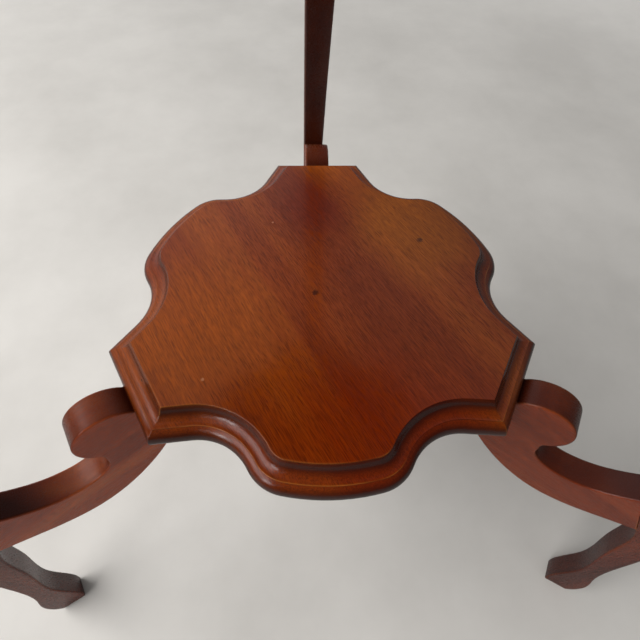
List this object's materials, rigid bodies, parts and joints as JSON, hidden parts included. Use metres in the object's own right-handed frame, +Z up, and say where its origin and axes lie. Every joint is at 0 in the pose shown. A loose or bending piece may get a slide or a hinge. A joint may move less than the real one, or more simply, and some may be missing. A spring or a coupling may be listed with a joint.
{
  "type": "tiered side table",
  "caption": "Tiered side table: a lobed, moulded wooden top above a shelf of the same outline, carried on scroll brackets between splayed, S-curved legs.",
  "frame": {"origin": "on the floor, under the middle of the table's outer box", "axes": "+Z up; -Y is the front, where a lobe of each panel faces; the back leg stands towards +Y; the upright axis that the legs stand round is at x = 0, y = -0.08455 m"},
  "size_m": [0.6276, 0.5439, 0.74],
  "materials": {
    "panel_wood": "red-brown stained hardwood, satin lacquer",
    "leg_wood": "dark red-brown stained hardwood, satin lacquer",
    "block_wood": "thinly stained hardwood, unlacquered",
    "dowel_wood": "plain beech",
    "screw_steel": "zinc-plated steel",
    "nail_steel": "bright steel",
    "glide_plastic": "dark brown moulded plastic"
  },
  "bodies": {
    "root": {"top_panel": "panel_wood", "shelf_panel": "panel_wood", "leg_back": "leg_wood", "bracket_back": "leg_wood", "top_block_back": "block_wood", "foot_glide_back": "glide_plastic", "leg_left": "leg_wood", "bracket_left": "leg_wood", "top_block_left": "block_wood", "foot_glide_left": "glide_plastic", "leg_right": "leg_wood", "bracket_right": "leg_wood", "top_block_right": "block_wood", "foot_glide_right": "glide_plastic", "bracket_dowels": "dowel_wood", "shelf_dowels": "dowel_wood", "leg_dowels": "dowel_wood", "shelf_screws": "screw_steel", "block_screws": "screw_steel", "top_screws": "screw_steel", "glide_nails": "nail_steel"}
  },
  "joints": []
}
